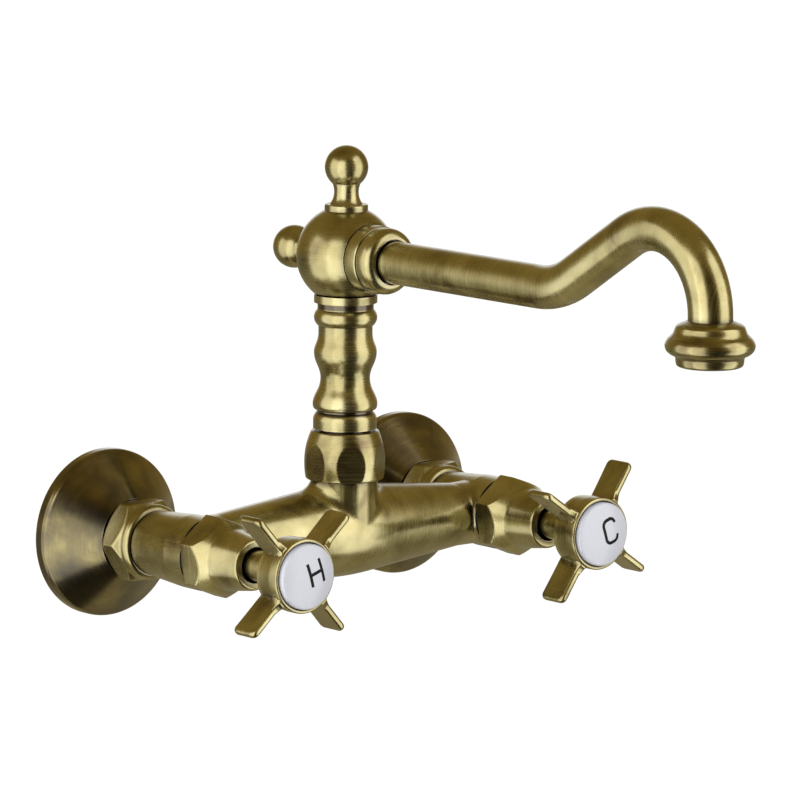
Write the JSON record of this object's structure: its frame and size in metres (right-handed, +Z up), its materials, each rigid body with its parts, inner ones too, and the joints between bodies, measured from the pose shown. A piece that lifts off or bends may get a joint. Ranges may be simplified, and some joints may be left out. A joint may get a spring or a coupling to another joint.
{
  "type": "bathroom mixer faucet",
  "caption": "Wall-mounted bathroom mixer faucet with cross handles, a turned column with a ball head, and a long swivelling spout ending in a bell-shaped aerator.",
  "frame": {"origin": "on the wall's face, midway between the axes of the two supply tails", "axes": "+X to the cold side, +Y into the wall along the tails, +Z up"},
  "size_m": [0.216, 0.3027, 0.1854],
  "materials": {
    "antique_brass": "antique brass, satin with fine turning marks",
    "porcelain": "white glaze",
    "disc_ceramic": "lapped alumina",
    "rubber": "moulded rubber",
    "fibre": "pressed fibre and rubber sheet",
    "nylon": "moulded nylon",
    "spring_steel": "bright steel"
  },
  "bodies": {
    "body": {"wall_flange_hot": "antique_brass", "wall_union_hot": "antique_brass", "union_nut_hot": "antique_brass", "inlet_nipple_hot": "antique_brass", "union_washer_hot": "fibre", "bonnet_gasket_hot": "rubber", "valve_bonnet_hot": "antique_brass", "seat_seal_hot": "rubber", "fixed_disc_hot": "disc_ceramic", "wall_flange_cold": "antique_brass", "wall_union_cold": "antique_brass", "union_nut_cold": "antique_brass", "inlet_nipple_cold": "antique_brass", "union_washer_cold": "fibre", "bonnet_gasket_cold": "rubber", "valve_bonnet_cold": "antique_brass", "seat_seal_cold": "rubber", "fixed_disc_cold": "disc_ceramic", "mixer_body": "antique_brass", "swivel_nut": "antique_brass", "slip_washer": "nylon"},
    "spout": {"spout_column": "antique_brass", "column_rings": "rubber", "snap_ring": "nylon", "spout_head": "antique_brass", "top_finial": "antique_brass", "rear_finial": "antique_brass", "spout_collar": "antique_brass", "spout_tube": "antique_brass", "aerator_shell": "antique_brass", "aerator_washer": "rubber", "aerator_insert": "nylon"},
    "hot_handle": {"cross_handle_hot": "antique_brass", "index_ring_hot": "antique_brass", "index_button_hot": "porcelain", "handle_screw_hot": "spring_steel", "valve_spindle_hot": "antique_brass", "moving_disc_hot": "disc_ceramic", "spindle_ring_hot": "rubber", "spindle_clip_hot": "spring_steel"},
    "cold_handle": {"cross_handle_cold": "antique_brass", "index_ring_cold": "antique_brass", "index_button_cold": "porcelain", "handle_screw_cold": "spring_steel", "valve_spindle_cold": "antique_brass", "moving_disc_cold": "disc_ceramic", "spindle_ring_cold": "rubber", "spindle_clip_cold": "spring_steel"}
  },
  "joints": [
    {"name": "spout_swivel", "type": "hinge", "parent": "body", "child": "spout", "pos_m": [0, -0.0578, 0.038], "axis": [0, 0, 1], "range_deg": [-90, 90]},
    {"name": "hot_handle_turn", "type": "hinge", "parent": "body", "child": "hot_handle", "pos_m": [-0.075, -0.09, 0.008], "axis": [0, -1, 0], "range_deg": [0, 90]},
    {"name": "cold_handle_turn", "type": "hinge", "parent": "body", "child": "cold_handle", "pos_m": [0.075, -0.09, 0.008], "axis": [0, -1, 0], "range_deg": [-90, 0]}
  ]
}
